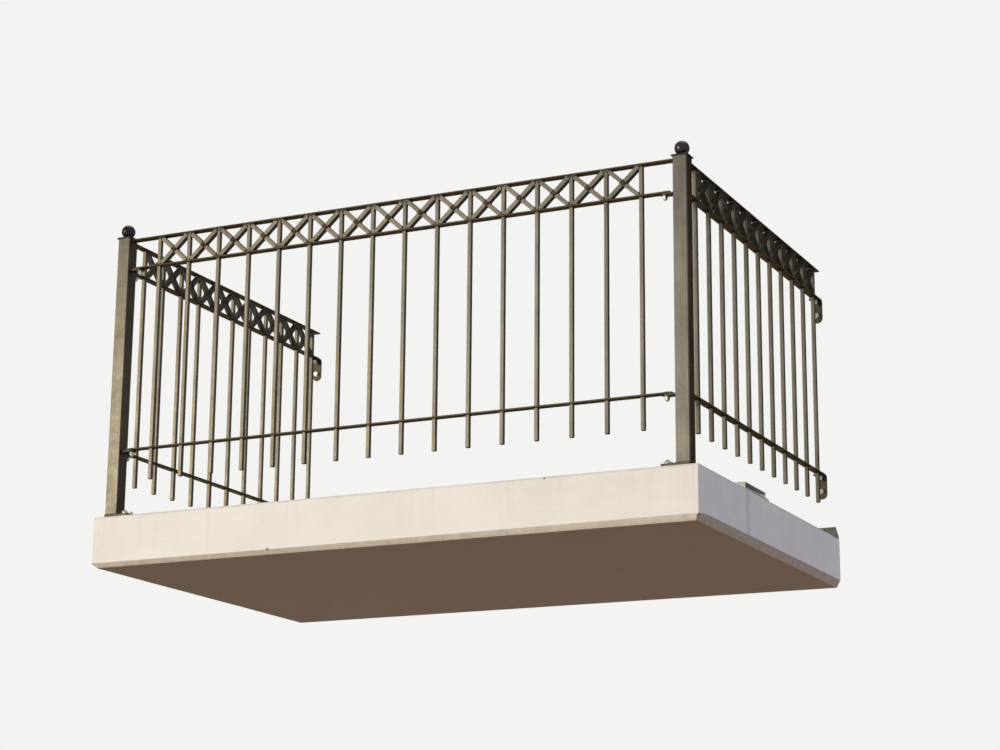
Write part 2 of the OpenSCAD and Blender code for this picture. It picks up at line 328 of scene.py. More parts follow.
def rail_recipe():
    """A flat rail, punched with a square hole for each bar and drilled for a bolt near each end."""
    r = Recipe("punched_rail")
    start, end, level, first, last, hole, bolt_a, bolt_b, drill, unevenness = r.sizes(
        "start", "end", "middle height", "first hole", "last hole", "hole width", "first bolt", "last bolt",
        "bolt hole", "unevenness")
    count, seed = r.counts("number of holes", "seed")
    flat_rail = r.swept(r.section(), r.at(start, 0.0, level), r.at(end, 0.0, level), steps=60,
                        drawn_in=0.035)
    flat_rail = r.uneven(flat_rail, unevenness, scale=8.0, seed=seed)
    through = 30 * MM
    punch = r.put("GeometryNodeMeshCube", plugs={"Size": r.at(hole, hole, through)})
    bit = r.put("GeometryNodeMeshCylinder", plugs={
        "Vertices": 24, "Radius": r.times(drill, 0.5), "Depth": through})
    holes = [r.row(r.moved(tool, r.at(z=level)), a, b, n)
             for tool, a, b, n in ((punch, first, last, count), (bit, bolt_a, bolt_b, 2))]
    return r.finish(r.cut("DIFFERENCE", holes, flat_rail))


def length_recipe():
    """A rolled or folded section of one length, such as the handrail or the flashing."""
    r = Recipe("rolled_length")
    start, end, level, unevenness, wave = r.sizes("start", "end", "level", "unevenness", "wave")
    seed = r.size("seed", "Int")
    length = r.swept(r.section(), r.at(start, 0.0, level), r.at(end, 0.0, level), steps=60, drawn_in=0.0)
    return r.finish(r.uneven(length, unevenness, wave, seed))


def weld_recipe():
    """Rippled weld beads along the given lines, thinner at their two ends."""
    r = Recipe("weld_beads")
    radius, ripple, taper = r.sizes("bead radius", "ripple", "taper length")
    seed = r.size("seed", "Int")
    path = r.put("GeometryNodeResampleCurve", plugs={"Curve": r.section(), "Length": RIPPLE_STEP},
                 mode="LENGTH")
    gone = r.put("GeometryNodeSplineParameter", 1)
    left = r.less(r.put("GeometryNodeSplineLength"), gone)
    near = r.sums("MINIMUM", r.sums("DIVIDE", r.sums("MINIMUM", gone, left), taper), 1.0)
    near = r.sums("MAXIMUM", near, r.put("GeometryNodeInputSplineCyclic"))
    full = r.plus(0.45, r.times(r.sums("SQRT", near), 0.55))
    lump = r.plus(1.0, r.times(r.less(r.noise("Fac", 260.0, 2.0, seed), 0.5), ripple))
    ring = r.put("GeometryNodeCurvePrimitiveCircle", plugs={"Resolution": 7, "Radius": radius})
    beads = r.tube(path, ring, r.times(full, lump))
    return r.finish(r.uneven(beads, amount=0.8 * MM, scale=180.0, seed=seed))


# Recipes of the fasteners

def standing(r, part, height, base):
    """A part that was made round its own middle, stood on base."""
    return r.moved(part, r.at(z=r.plus(base, r.times(height, 0.5))))


def hexagon(r, across, height, base):
    """A hexagon nut or head standing on base, its corners rounded off above and below."""
    block = r.put("GeometryNodeMeshCylinder", plugs={
        "Vertices": 6, "Radius": r.sums("DIVIDE", across, sqrt(3.0)), "Depth": height})
    rounding = r.put("GeometryNodeMeshUVSphere", plugs={"Segments": 32, "Rings": 16, "Radius": 1.0})
    wide = r.times(across, 0.6)
    rounding = r.moved(rounding, scale=r.at(wide, wide, r.times(height, 1.22)))
    return standing(r, r.cut("INTERSECT", [block, rounding]), height, base)


def disc(r, radius, height, base):
    """A washer, or a plain stretch of shank."""
    plate = r.put("GeometryNodeMeshCylinder", plugs={"Vertices": 32, "Radius": radius, "Depth": height})
    return standing(r, plate, height, base)


def threaded(r, radius, base, end):
    """A threaded stud: rings of thread, with a bevelled end."""
    path = r.line(r.at(z=base), r.at(z=end), 25)
    ridge = r.times(r.sums("MODULO", r.put("GeometryNodeSplineParameter", 2), 2.0), 0.10)
    tip = r.put("GeometryNodeCurveEndpointSelection", plugs={"Start Size": 0, "End Size": 1})
    ring = r.put("GeometryNodeCurvePrimitiveCircle", plugs={"Resolution": 24, "Radius": radius})
    return r.tube(path, ring, r.less(r.less(1.0, ridge), r.times(tip, 0.16)))


def set_on_points(r, parts, seed):
    """One set of fastener parts on each given point, each spun as the spanner left it."""
    return r.copies(r.join(*parts), r.given, r.spin(pi / 6, seed))


def bolt_head_recipe():
    """Low round bolt head on the rail, with the shank that goes down through rail and lug."""
    r = Recipe("bolt_head")
    head, grip, shank = r.sizes("head radius", "grip", "shank radius")
    seed = r.size("seed", "Int")
    ball = r.put("GeometryNodeMeshUVSphere", plugs={"Segments": 40, "Rings": 20, "Radius": head})
    parts = [r.moved(ball, scale=(1.0, 1.0, 0.40)), disc(r, shank, grip, r.times(grip, -1.0))]
    return r.finish(set_on_points(r, parts, seed))


def domed_nut_recipe():
    """Washer and domed nut under the lug."""
    r = Recipe("domed_nut")
    across, grip, washer = r.sizes("across flats", "grip", "washer radius")
    seed = r.size("seed", "Int")
    under = r.less(r.times(grip, -1.0), BOLT_WASHER_T)
    nut = r.less(under, DOMED_NUT_H)
    dome = r.put("GeometryNodeMeshUVSphere", plugs={
        "Segments": 32, "Rings": 16, "Radius": r.times(across, 0.455)})
    parts = [disc(r, washer, BOLT_WASHER_T, under), hexagon(r, across, DOMED_NUT_H, nut),
             r.moved(dome, r.at(z=r.less(nut, 0.5 * MM)), (1.0, 1.0, 1.1))]
    return r.finish(set_on_points(r, parts, seed))


def anchor_recipe():
    """Washer, nut and the end of a threaded stud, standing on a plate."""
    r = Recipe("anchor_stud")
    across, proud, washer, shank = r.sizes("across flats", "stud height", "washer radius", "shank radius")
    seed = r.size("seed", "Int")
    parts = [disc(r, washer, ANCHOR_WASHER_T, 0.0), hexagon(r, across, ANCHOR_NUT_H, ANCHOR_WASHER_T),
             threaded(r, shank, r.times(proud, -0.3), proud)]
    return r.finish(set_on_points(r, parts, seed))


# Making pieces

def keep(name, mesh):
    """A new piece in the scene, at the origin and unturned."""
    piece = bpy.data.objects.new(name, mesh)
    scene.collection.objects.link(piece)
    return piece


def settle(piece, name):
    """Replaces a piece's mesh by what its modifiers make of it."""
    mesh = bpy.data.meshes.new_from_object(piece.evaluated_get(bpy.context.evaluated_depsgraph_get()))
    mesh.name = name
    piece.modifiers.clear()
    piece.data = mesh
    return piece


def shade(piece, angle):
    """Round parts shade smooth, and flat faces stay flat beside their eased edges."""
    piece.data.shade_smooth()
    piece.data.set_sharp_from_angle(angle=radians(angle))
    piece.modifiers.new("even_normals", "WEIGHTED_NORMAL").keep_sharp = True
    return settle(piece, piece.name)


def fit(piece, slot, *stands_for):
    """Lets a finished piece ride on the balcony's one body, in place of the solids it stands for."""
    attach(piece, "root")
    if stands_for:
        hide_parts(*stands_for)
    return piece


def lines(paths):
    """Bare lines through the given points; a path that ends where it began is a closed ring."""
    points, steps = [], []
    for path in paths:
        ring = len(path) > 2 and (Vector(path[0]) - Vector(path[-1])).length < 1e-7
        path = path[:-1] if ring else path
        start = len(points)
        points += [tuple(p) for p in path]
        steps += [(start + i, start + i + 1) for i in range(len(path) - 1)]
        if ring:
            steps.append((start + len(path) - 1, start))
    mesh = bpy.data.meshes.new("lines")
    mesh.from_pydata(points, steps, [])
    return mesh


def dots(places):
    """Single points, for fasteners to stand on."""
    return lines([[place] for place in places])


def flat(points):
    """A closed section outline in the XY plane."""
    return lines([[(x, y, 0.0) for x, y in points + points[:1]]])


def along_x(points):
    """A section given as (y, z) points, turned as the sweep along X needs it."""
    return flat([(-y, -z) for y, z in points])


def rounded(wide, high, r, steps=3):
    """Section of a bar: a rectangle with eased corners, counter-clockwise."""
    points = []
    for turn, sx, sy in ((0, 1, 1), (1, -1, 1), (2, -1, -1), (3, 1, -1)):
        for i in range(steps):
            a = pi / 2 * (turn + i / (steps - 1))
            points.append((sx * (wide / 2 - r) + r * cos(a), sy * (high / 2 - r) + r * sin(a)))
    return points


def made(name, recipe, given, slot, coat, stands_for=(), angle=34.0, turn=(0.0, 0.0, 0.0),
         place=(0.0, 0.0, 0.0), **sizes):
    """Runs a recipe with these sizes and keeps the result as a plain mesh."""
    piece = keep(name, given)
    step = piece.modifiers.new("recipe", "NODES")
    step.node_group = recipe.tree
    sizes.update(turn=turn, place=place, finish=coat)
    for label, value in sizes.items():
        step[recipe.inputs[label.replace("_", " ")]] = value
    settle(piece, name)
    return fit(shade(piece, angle), slot, *stands_for)


def worked(name, body, coat):
    """Keeps a bmesh that has been worked on as a piece of one finish."""
    mesh = bpy.data.meshes.new(name)
    body.to_mesh(mesh)
    body.free()
    mesh.materials.append(coat)
    return keep(name, mesh)


def eased(node, width, coat, slot):
    """A copy of a solid with its hard edges softened, as a file and thick paint leave them."""
    solid = bmesh.new()
    solid.from_mesh(nodes[node].data)
    bmesh.ops.remove_doubles(solid, verts=solid.verts, dist=0.01 * MM)
    bmesh.ops.dissolve_limit(solid, angle_limit=radians(0.6), verts=solid.verts, edges=solid.edges)
    hard = [e for e in solid.edges if e.is_manifold and e.calc_face_angle(0.0) > radians(25.0)]
    bmesh.ops.bevel(solid, geom=hard, offset=width, segments=2, profile=0.5, affect="EDGES",
                    clamp_overlap=True)
    return fit(shade(worked(node + "_eased", solid, coat), 30.0), slot, node)


def turned(name, profile, place, sides, coat):
    """A turned part: a profile of (radius, height) points spun about the upright axis."""
    points, faces = [(0.0, 0.0, profile[0][1])], []
    for r, z in profile:
        points += [(r * cos(2 * pi * i / sides), r * sin(2 * pi * i / sides), z) for i in range(sides)]
    points.append((0.0, 0.0, profile[-1][1] + 0.02 * MM))
    last = len(points) - 1
    for i in range(sides):
        j = (i + 1) % sides
        faces.append((0, 1 + j, 1 + i))
        for k in range(len(profile) - 1):
            a, b = 1 + k * sides, 1 + (k + 1) * sides
            faces.append((a + i, a + j, b + j, b + i))
        faces.append((last - sides + i, last - sides + j, last))
    mesh = bpy.data.meshes.new(name)
    mesh.from_pydata([tuple(Vector(p) + Vector(place)) for p in points], [], faces)
    mesh.materials.append(coat)
    return keep(name, mesh)


def progress(value, low, high):
    """How far a value has come from low to high, from 0 to 1."""
    return min(max((value - low) / (high - low), 0.0), 1.0)


# Finishes

class Finish(Wiring):
    """A material being built: its tree, its shader, the object's own coordinates and its directions."""

    def __init__(self, name, **values):
        self.material = bpy.data.materials.new(name)
        self.material.use_nodes = True
        super().__init__(self.material.node_tree)
        self.shader = self.tree.nodes["Principled BSDF"]
        for label, value in values.items():
            self.shader.inputs[label.replace("_", " ")].default_value = value
        self.place = self.put("ShaderNodeTexCoord", "Object")
        self.x, self.y, self.z = self.parts(self.place)
        self.normal = self.put("ShaderNodeNewGeometry", "Normal")
        # How far the surface faces right, back and up
        self.right, self.back, self.up = self.parts(self.normal)

    def parts(self, vector):
        """The X, Y and Z of a vector."""
        return [self.put("ShaderNodeSeparateXYZ", axis, {0: vector}) for axis in range(3)]

    def span(self, value, low, high, new_low=0.0, new_high=1.0):
        """A value from low to high, spread over new_low to new_high and clamped."""
        return self.put("ShaderNodeMapRange", plugs={
            "Value": value, "From Min": low, "From Max": high, "To Min": new_low, "To Max": new_high})

    def grain(self, scale, detail=3.0, rough=0.55, stretch=None, warp=0.0):
        """Cloudy pattern from 0 to 1; stretch squeezes or draws it out along X, Y and Z."""
        place = self.place
        if stretch:
            place = self.put("ShaderNodeMapping", plugs={"Vector": place, "Scale": stretch})
        return self.put("ShaderNodeTexNoise", "Fac", {
            "Vector": place, "Scale": scale, "Detail": detail, "Roughness": rough, "Distortion": warp})

    def patchy(self, low, high, *grain, **more):
        """The cloudy pattern, with its usual values spread over low to high."""
        return self.span(self.grain(*grain, **more), 0.3, 0.7, low, high)

    def blend(self, amount, a, b, mode="MIX"):
        """Goes from colour a to colour b as the amount goes from 0 to 1."""
        node = self.tree.nodes.new("ShaderNodeMix")
        node.data_type, node.blend_type = "RGBA", mode
        for socket, value in zip((node.inputs[0], node.inputs[6], node.inputs[7]), (amount, a, b)):
            if isinstance(value, bpy.types.NodeSocket):
                self.tree.links.new(value, socket)
            else:
                socket.default_value = value if socket.type == "VALUE" else (*value, 1.0)
        return node.outputs[2]

    def tint(self, colour, factor):
        """Colour made lighter or darker by a factor near 1."""
        grey = self.put("ShaderNodeCombineColor", plugs={0: factor, 1: factor, 2: factor})
        return self.blend(1.0, colour, grey, "MULTIPLY")

    def spot(self, centre, radius):
        """1 within a ragged patch round a point, 0 outside it."""
        away = self.put("ShaderNodeVectorMath", "Value", {0: self.place, 1: centre}, operation="DISTANCE")
        ragged = self.times(self.less(self.grain(160.0), 0.5), radius)
        return self.span(self.plus(away, ragged), radius, radius * 0.75)

    def bumps(self, *layers):
        """Layers of fine relief, each a height from 0 to 1 and its depth in metres."""
        normal = None
        for height, depth in layers:
            plugs = {"Height": height, "Distance": depth, "Strength": 1.0}
            if normal is not None:
                plugs["Normal"] = normal
            normal = self.put("ShaderNodeBump", plugs=plugs)
        return normal

    def wire(self, **sockets):
        """Plugs sockets into the shader and gives the finished material."""
        for label, value in sockets.items():
            self.tree.links.new(value, self.shader.inputs[label.replace("_", " ")])
        return self.material


def paint_wear_and_shade(f, patch, foot, top):
    """Lighter and darker iron paint: in clouds, streaks and flakes, from bar to bar and low down; darker high
    up, which is a painted shade.
    """
    clouds = f.patchy(1.0 - 0.13 * patch, 1.0 + 0.13 * patch, 7.0, 4.0)
    streaks = f.patchy(1.0 - 0.10 * patch, 1.0 + 0.10 * patch, 1.0, stretch=(95.0, 95.0, 3.5))
    flakes = f.span(f.grain(620.0, 2.0), 0.32, 0.68, 0.93, 1.07)
    own = f.span(f.put("ShaderNodeNewGeometry", "Random Per Island"), 0.0, 1.0, 0.94, 1.06)
    low_down = f.span(f.z, DECK, DECK + 0.4, foot, 1.0)
    # Darker towards the top: painted shade
    shade_high_up = f.span(f.z, DECK + 0.65, DECK + 1.03, 1.0, top)
    return f.times(f.times(clouds, streaks), f.times(flakes, own), f.times(low_down, shade_high_up))


def lit_and_shaded_paint(f, lit_tone, shade_tone):
    """Painted light on the iron paint: a lit tone where it faces the street and a painted shade tone on its
    other faces; the lit tone is darker and warmer to the left, a painted shade, and greyer and paler to the
    right.
    """
    # The lit tone, darkened and warmed towards the left end as painted shade
    warm = tuple(c * k for c, k in zip(lit_tone, (0.80, 0.775, 0.73)))
    along = f.plus(f.x, f.times(f.grain(3.0, 2.0), 0.8))
    colour = f.blend(f.span(along, -0.7, 0.8), warm, lit_tone)
    # Facing the street gives the painted lit tone; facing away gives the painted shade tone
    facing = f.put("ShaderNodeVectorMath", "Value", {0: f.normal, 1: PAINTED_LIGHT_FACING}, operation="DOT_PRODUCT")
    return f.blend(f.span(facing, 0.30, 0.90), shade_tone, colour)


def rust_specks(f, rust):
    """Where rust has come through: in specks, with more of them near the slab and in the frieze."""
    low_down = f.span(f.z, DECK + 0.16, DECK, 0.0, 0.10)
    frieze = f.span(f.sums("ABSOLUTE", f.less(f.z, FRIEZE_Z)), 0.07, 0.02, 0.0, 0.035)
    specks = f.plus(f.grain(70.0, 5.0, 0.7), f.plus(low_down, frieze))
    return f.times(f.span(specks, 0.69, 0.75), rust)


def iron_paint(name, lit_tone, shade_tone, edge=(0.30, 0.29, 0.27), rough=0.40, rust=1.0, patch=1.0, foot=1.0,
               top=0.92):
    """Weathered mica paint on iron: painted light where it faces the street and painted shade on its other
    faces, streaked, dusty on top, rusting low down.
    """
    f = Finish(name, Metallic=0.95, Specular_Tint=(*edge, 1.0), IOR=1.45)
    base = f.tint(lit_and_shaded_paint(f, lit_tone, shade_tone), paint_wear_and_shade(f, patch, foot, top))
    dusty = f.times(f.span(f.up, 0.55, 0.98), f.span(f.grain(45.0, 4.0), 0.25, 0.75, 0.25, 0.8))
    base = f.blend(dusty, base, (0.150, 0.140, 0.125))
    rusty = rust_specks(f, rust)
    base = f.blend(rusty, base, f.blend(f.grain(240.0), (0.070, 0.026, 0.012), (0.125, 0.052, 0.022)))
    roughness = f.plus(f.patchy(rough - 0.05, rough + 0.06, 26.0),
                       f.times(f.sums("MAXIMUM", rusty, dusty), 0.28))
    normal = f.bumps((f.grain(34.0, 2.0), 0.35 * MM), (f.grain(330.0, 2.0), 0.035 * MM),
                     (rusty, 0.12 * MM))
    return f.wire(Base_Color=base, Roughness=roughness, Normal=normal)


def masonry_paint(f):
    """Off-white paint, mottled, with faint level trowel marks, a little darker to the right."""
    factor = f.times(f.patchy(0.965, 1.03, 5.0, 5.0, 0.6),
                     f.patchy(0.985, 1.012, 1.0, 4.0, stretch=(9.0, 9.0, 38.0), warp=0.4),
                     f.patchy(0.975, 1.02, 420.0, 2.0), f.span(f.x, -1.0, 1.1, 1.02, 0.95))
    paint = f.blend(f.span(f.grain(2.2), 0.35, 0.65), (0.845, 0.805, 0.735), (0.815, 0.765, 0.680))
    return f.tint(paint, factor)


def rain_marks(f, paint, wave, top):
    """A thin dirt line where rain runs over the top edge, and streaks that fade on their way down."""
    from_top = f.less(top, f.plus(f.z, wave))
    paint = f.blend(f.span(from_top, 9 * MM, 2 * MM, 0.0, 0.55), paint, (0.36, 0.345, 0.315))
    runs = f.span(f.grain(1.0, 4.0, 0.6, stretch=(34.0, 34.0, 1.6)), 0.56, 0.74, 0.0, 0.30)
    fading = f.span(from_top, 150 * MM, 10 * MM, 0.15, 1.0)
    return f.blend(f.times(runs, fading), paint, (0.56, 0.53, 0.47))


def drip_stain(f, paint, wave):
    """A grey stain on the right side, under the drain outlet."""
    drip_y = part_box("drain_outlet")[0].y + 8 * MM
    aside = f.sums("ABSOLUTE", f.less(f.plus(f.y, f.times(wave, 0.7)), drip_y))
    stain = f.times(f.span(aside, 34 * MM, 6 * MM), f.span(f.x, 1.0, 1.1),
                    f.span(f.grain(30.0, 4.0), 0.3, 0.6, 0.30, 0.62))
    return f.blend(stain, paint, (0.50, 0.52, 0.52))


def bevel_tone_and_bounce(f, paint, bottom):
    """Darker paint on the lower bevel, darker still towards the soffit, and browner on the right side, where
    it is a painted warm bounce light.
    """
    from_low = f.less(f.z, bottom)
    front = f.blend(f.span(from_low, 1 * MM, CHAMFER), (0.68, 0.61, 0.545), (0.79, 0.72, 0.645))
    # The right side's browner tone is a painted warm bounce light
    side = f.blend(f.span(from_low, 8 * MM, 24 * MM), (0.66, 0.545, 0.40), (0.61, 0.565, 0.49))
    bevel_colour = f.blend(f.span(f.right, 0.3, 0.6), front, side)
    return f.blend(f.span(f.up, -0.20, -0.35), paint, f.tint(bevel_colour, f.patchy(0.86, 1.1, 30.0, 5.0, 0.65)))


def chips(f, paint, low, high):
    """Small places where the paint has chipped off, most of them at the corners of the bevel."""
    for centre, radius in (((high.x - 4 * MM, low.y + 6 * MM, low.z + 13 * MM), 9 * MM),
                           ((high.x - 3 * MM, -0.075, low.z + 11 * MM), 8 * MM),
                           ((low.x + 5 * MM, low.y + 4 * MM, low.z + 10 * MM), 7 * MM),
                           ((-0.42, low.y, low.z + 16 * MM), 6 * MM),
                           ((0.61, low.y, high.z - 6 * MM), 5 * MM)):
        paint = f.blend(f.spot(centre, radius), paint, (0.30, 0.26, 0.22))
    return paint


def shaded_soffit(f):
    """Underside in painted shade and warm bounce light: darker and browner than the paint of the faces."""
    return f.tint(f.blend(f.grain(3.4, 5.0), (0.66, 0.57, 0.485), (0.58, 0.51, 0.44)),
                  f.patchy(0.94, 1.05, 260.0))


def worn_screed(f):
    """Cement screed on top, with damp patches."""
    screed = f.blend(f.patchy(0.0, 1.0, 4.0, 6.0, 0.62), (0.42, 0.40, 0.365), (0.50, 0.48, 0.44))
    screed = f.tint(screed, f.patchy(0.86, 1.1, 300.0))
    damp = f.times(f.span(f.grain(6.0, 5.0), 0.5, 0.68), 0.30)
    return f.blend(damp, screed, (0.27, 0.26, 0.235))


def cast_concrete(f):
    """Bare concrete as it was cast, on the rear face."""
    return f.tint(f.blend(f.patchy(0.0, 1.0, 9.0, 6.0, 0.65), (0.30, 0.29, 0.27), (0.42, 0.405, 0.38)),
                  f.patchy(0.88, 1.08, 230.0))


def slab_paint():
    """The slab's finish: painted front and sides, a brown soffit in painted shade, grey top and a bare rear
    face.
    """
    f = Finish("slab_paint", Metallic=0.0, IOR=1.4)
    low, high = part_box("slab")
    wave = f.times(f.less(f.grain(22.0), 0.5), 9 * MM)
    coat = rain_marks(f, masonry_paint(f), wave, high.z)
    coat = bevel_tone_and_bounce(f, drip_stain(f, coat, wave), low.z)
    coat = chips(f, coat, low, high)
    # Down-facing faces get the soffit's painted shade tone
    coat = f.blend(f.span(f.up, -0.85, -0.95), coat, shaded_soffit(f))
    coat = f.blend(f.span(f.up, 0.75, 0.93), coat, worn_screed(f))
    coat = f.blend(f.span(f.back, 0.75, 0.93), coat, cast_concrete(f))
    normal = f.bumps((f.grain(16.0, stretch=(1.0, 1.0, 1.6)), 1.1 * MM),
                     (f.grain(150.0, 4.0, 0.6), 0.35 * MM), (f.grain(700.0, 2.0), 0.12 * MM))
    return f.wire(Base_Color=coat, Roughness=f.patchy(0.78, 0.93, 60.0), Normal=normal)


def zinc_sheet(name, dull, pale):
    """Weathered grey sheet with faint rolling lines and pale bloom."""
    f = Finish(name, Metallic=0.6, IOR=1.5)
    bloom = f.span(f.grain(14.0, 5.0, 0.6), 0.35, 0.7)
    base = f.tint(f.blend(bloom, dull, pale), f.patchy(0.92, 1.07, 1.0, stretch=(6.0, 300.0, 300.0)))
    spots = f.span(f.grain(95.0, 4.0, 0.7), 0.60, 0.70, 0.0, 0.6)
    base = f.blend(spots, base, tuple(1.5 * c for c in pale))
    normal = f.bumps((f.grain(9.0, 2.0), 1.2 * MM), (f.grain(420.0, 2.0), 0.03 * MM))
    return f.wire(Base_Color=base, Roughness=f.patchy(0.42, 0.62, 30.0, 4.0), Normal=normal)


def bright_zinc():
    """Bright fasteners with fine turning marks and a little grime."""
    f = Finish("bright_fastener_zinc", Metallic=1.0)
    grime = f.span(f.grain(190.0, 4.0, 0.65), 0.44, 0.68, 0.0, 0.75)
    base = f.blend(grime, (0.46, 0.45, 0.43), (0.16, 0.145, 0.125))
    roughness = f.plus(f.patchy(0.20, 0.32, 900.0, 2.0), f.times(grime, 0.3))
    normal = f.bumps((f.grain(1.0, 2.0, stretch=(300.0, 300.0, 2600.0)), 0.02 * MM))
    return f.wire(Base_Color=base, Roughness=roughness, Normal=normal)


def mortar():
    """Sandy repair mortar."""
    f = Finish("bedding_mortar", Metallic=0.0, IOR=1.4)
    sand = f.grain(520.0, 3.0, 0.7)
    base = f.blend(f.span(sand, 0.35, 0.65), (0.36, 0.33, 0.30), (0.52, 0.48, 0.45))
    base = f.tint(base, f.patchy(0.8, 1.08, 40.0, 4.0))
    return f.wire(Base_Color=base, Roughness=f.patchy(0.85, 0.97, 90.0),
                  Normal=f.bumps((f.grain(120.0, 4.0), 0.8 * MM), (sand, 0.25 * MM)))


IRON = iron_paint("weathered_iron_paint", (0.106, 0.096, 0.083), (0.064, 0.060, 0.056), foot=0.85, top=1.0)
BRACE_IRON = iron_paint("brace_paint", (0.102, 0.093, 0.079), (0.050, 0.047, 0.045), top=1.0)
POST_IRON = iron_paint("post_paint", (0.108, 0.100, 0.090), (0.054, 0.046, 0.040), edge=(0.36, 0.31, 0.27),
                       rust=0.4, patch=1.2, foot=0.90, top=0.76)
RAIL_IRON = iron_paint("rail_paint", (0.056, 0.047, 0.036), (0.049, 0.041, 0.031), edge=(0.48, 0.42, 0.33),
                       rough=0.46)
DARK_IRON = iron_paint("dark_iron_paint", (0.034, 0.031, 0.034), (0.032, 0.030, 0.034),
                       edge=(0.60, 0.57, 0.57), rough=0.30, rust=0.7, patch=1.4)
WELD = iron_paint("painted_weld_metal", (0.104, 0.096, 0.088), (0.050, 0.045, 0.040), rough=0.44, top=1.0)
# Darker weld metal over the crossings of the braces
DARK_WELD = iron_paint("stained_weld_metal", (0.050, 0.040, 0.029), (0.036, 0.029, 0.022), rough=0.55)
ZINC = zinc_sheet("dull_zinc_sheet", (0.070, 0.066, 0.062), (0.115, 0.110, 0.104))
# The outlet's pale sheet is a painted sunlit tone, paler than the flashing's sheet
OUTLET_ZINC = zinc_sheet("pale_zinc_sheet", (0.30, 0.29, 0.275), (0.44, 0.43, 0.41))
BRIGHT = bright_zinc()
SLAB = slab_paint()
MORTAR = mortar()


# The panels

class Panel:
    """One panel of the railing, drawn along X: where its bars and bays are, and where it stands."""

    def __init__(self, name, number):
        self.name, self.number, self.count = name, number, BARS[name]
        self.seed = 11 + 7 * number
        start, end, self.foot, self.under = self.reach("bars")
        self.first, self.last = start + BAR_W / 2, end - BAR_W / 2
        self.pitch = (self.last - self.first) / (self.count - 1)
        self.bay = self.pitch - BAR_W
        self.over = self.reach("frieze_braces")[2]
        self.slope = atan2(self.under - self.over, self.bay)
        # What the end of a brace covers of the rail, and of the bar, from the corner of its bay
        self.on_rail, self.on_bar = BRACE_W / 2 / sin(self.slope), BRACE_W / 2 / cos(self.slope)

    def reach(self, part):
        """Start, end, lowest and highest place of one of its nodes, along the panel's own length."""
        low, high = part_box(self.name + "_" + part)
        axis = 0 if self.name == "front" else 1
        return low[axis], high[axis], low.z, high.z

    def home(self):
        """The turn and the place that bring what is drawn along X to where the panel stands."""
        if self.name == "front":
            return {"turn": (0.0, 0.0, 0.0), "place": (0.0, POST_Y, 0.0)}
        return {"turn": (0.0, 0.0, pi / 2), "place": (SIDES[self.name] * POST_X, 0.0, 0.0)}

    def at(self, x, y, z):
        """A place on the panel, in the balcony's own frame."""
        if self.name == "front":
            return (x, POST_Y + y, z)
        return (SIDES[self.name] * POST_X - y, x, z)

    def bead(self, level, points):
        """A line through (x, y, distance from the rail); level 0 is the frieze rail, 1 the top rail."""
        rail, away = (self.under, -1) if level else (self.over, 1)
        return [self.at(x, y, rail + away * z) for x, y, z in points]


def upright_bars(panel, recipe):
    """Square bars from their feet above the slab up to the top rail."""
    made(panel.name + "_upright_bars", recipe, flat(rounded(BAR_W, BAR_W, BAR_EDGE, steps=4)),
         "weathered_iron", IRON, [panel.name + "_bars"], first_bar=panel.first, last_bar=panel.last,
         number_of_bars=panel.count, foot=panel.foot, top=panel.under, cut_lip=CUT_LIP,
         unevenness=0.3 * MM, seed=panel.seed, **panel.home())


def crossed_braces(panel, recipe):
    """A pair of crossed braces in each bay of the frieze."""
    _, _, low, high = panel.reach("frieze_braces")
    made(panel.name + "_crossed_braces", recipe, flat(rounded(BRACE_D, BRACE_W, BRACE_EDGE)),
         "weathered_iron", BRACE_IRON, [panel.name + "_frieze_braces"],
         first_bay=panel.first + panel.pitch / 2, last_bay=panel.last - panel.pitch / 2,
         number_of_bays=panel.count - 1, bay_width=panel.bay, bay_height=high - low,
         middle_height=(low + high) / 2, falling_depth_share=FALLING_D / BRACE_D,
         falling_set_back=(BRACE_D - FALLING_D) / 2, unevenness=0.25 * MM, seed=panel.seed, **panel.home())


def punched_rail(panel, level, recipe):
    """One of the two flat rails that the bars pass through, bolted down near its ends."""
    start, end, low, high = panel.reach(level + "_rail")
    from_post = POST_HALF + LUG_BOLT
    near, far = (from_post - POST_X, POST_X - from_post) if panel.name == "front" \
        else (POST_Y + from_post, -BRACKET_BOLT)
    made(f"{panel.name}_punched_{level}_rail", recipe, flat(rounded(RAIL_W, RAIL_T, RAIL_EDGE, steps=5)),
         "weathered_iron", RAIL_IRON, [f"{panel.name}_{level}_rail"], start=start, end=end,
         middle_height=(low + high) / 2, first_hole=panel.first, last_hole=panel.last,
         number_of_holes=panel.count, hole_width=BAR_HOLE, first_bolt=near, last_bolt=far,
         bolt_hole=BOLT_HOLE, unevenness=0.3 * MM, seed=panel.seed + len(level), **panel.home())


def handrail_section():
    """Flat below, upright edges, low arch on top."""
    half, ease, rise = RAIL_W / 2, TOP_RAIL_EDGE, TOP_RAIL_T - TOP_RAIL_SIDE
    arch = (half ** 2 + rise ** 2) / (2 * rise)
    most = atan2(half, arch - rise)
    points = [(-half + ease, 0.0), (half - ease, 0.0), (half, ease), (half, TOP_RAIL_SIDE - ease)]
    points += [(arch * sin(most * k / 8) * 0.995, TOP_RAIL_T - arch * (1 - cos(most * k / 8)))
               for k in range(8, -9, -1)]
    return points + [(-half, TOP_RAIL_SIDE - ease), (-half, ease)]


def handrail(panel, recipe):
    """The top rail, arched to the hand, over the ends of the bars."""
    start, end, low, _ = panel.reach("top_rail")
    made(panel.name + "_handrail", recipe, along_x(handrail_section()), "weathered_iron", RAIL_IRON,
         [panel.name + "_top_rail"], start=start, end=end, level=low, unevenness=0.35 * MM, wave=6.0,
         seed=panel.seed, **panel.home())


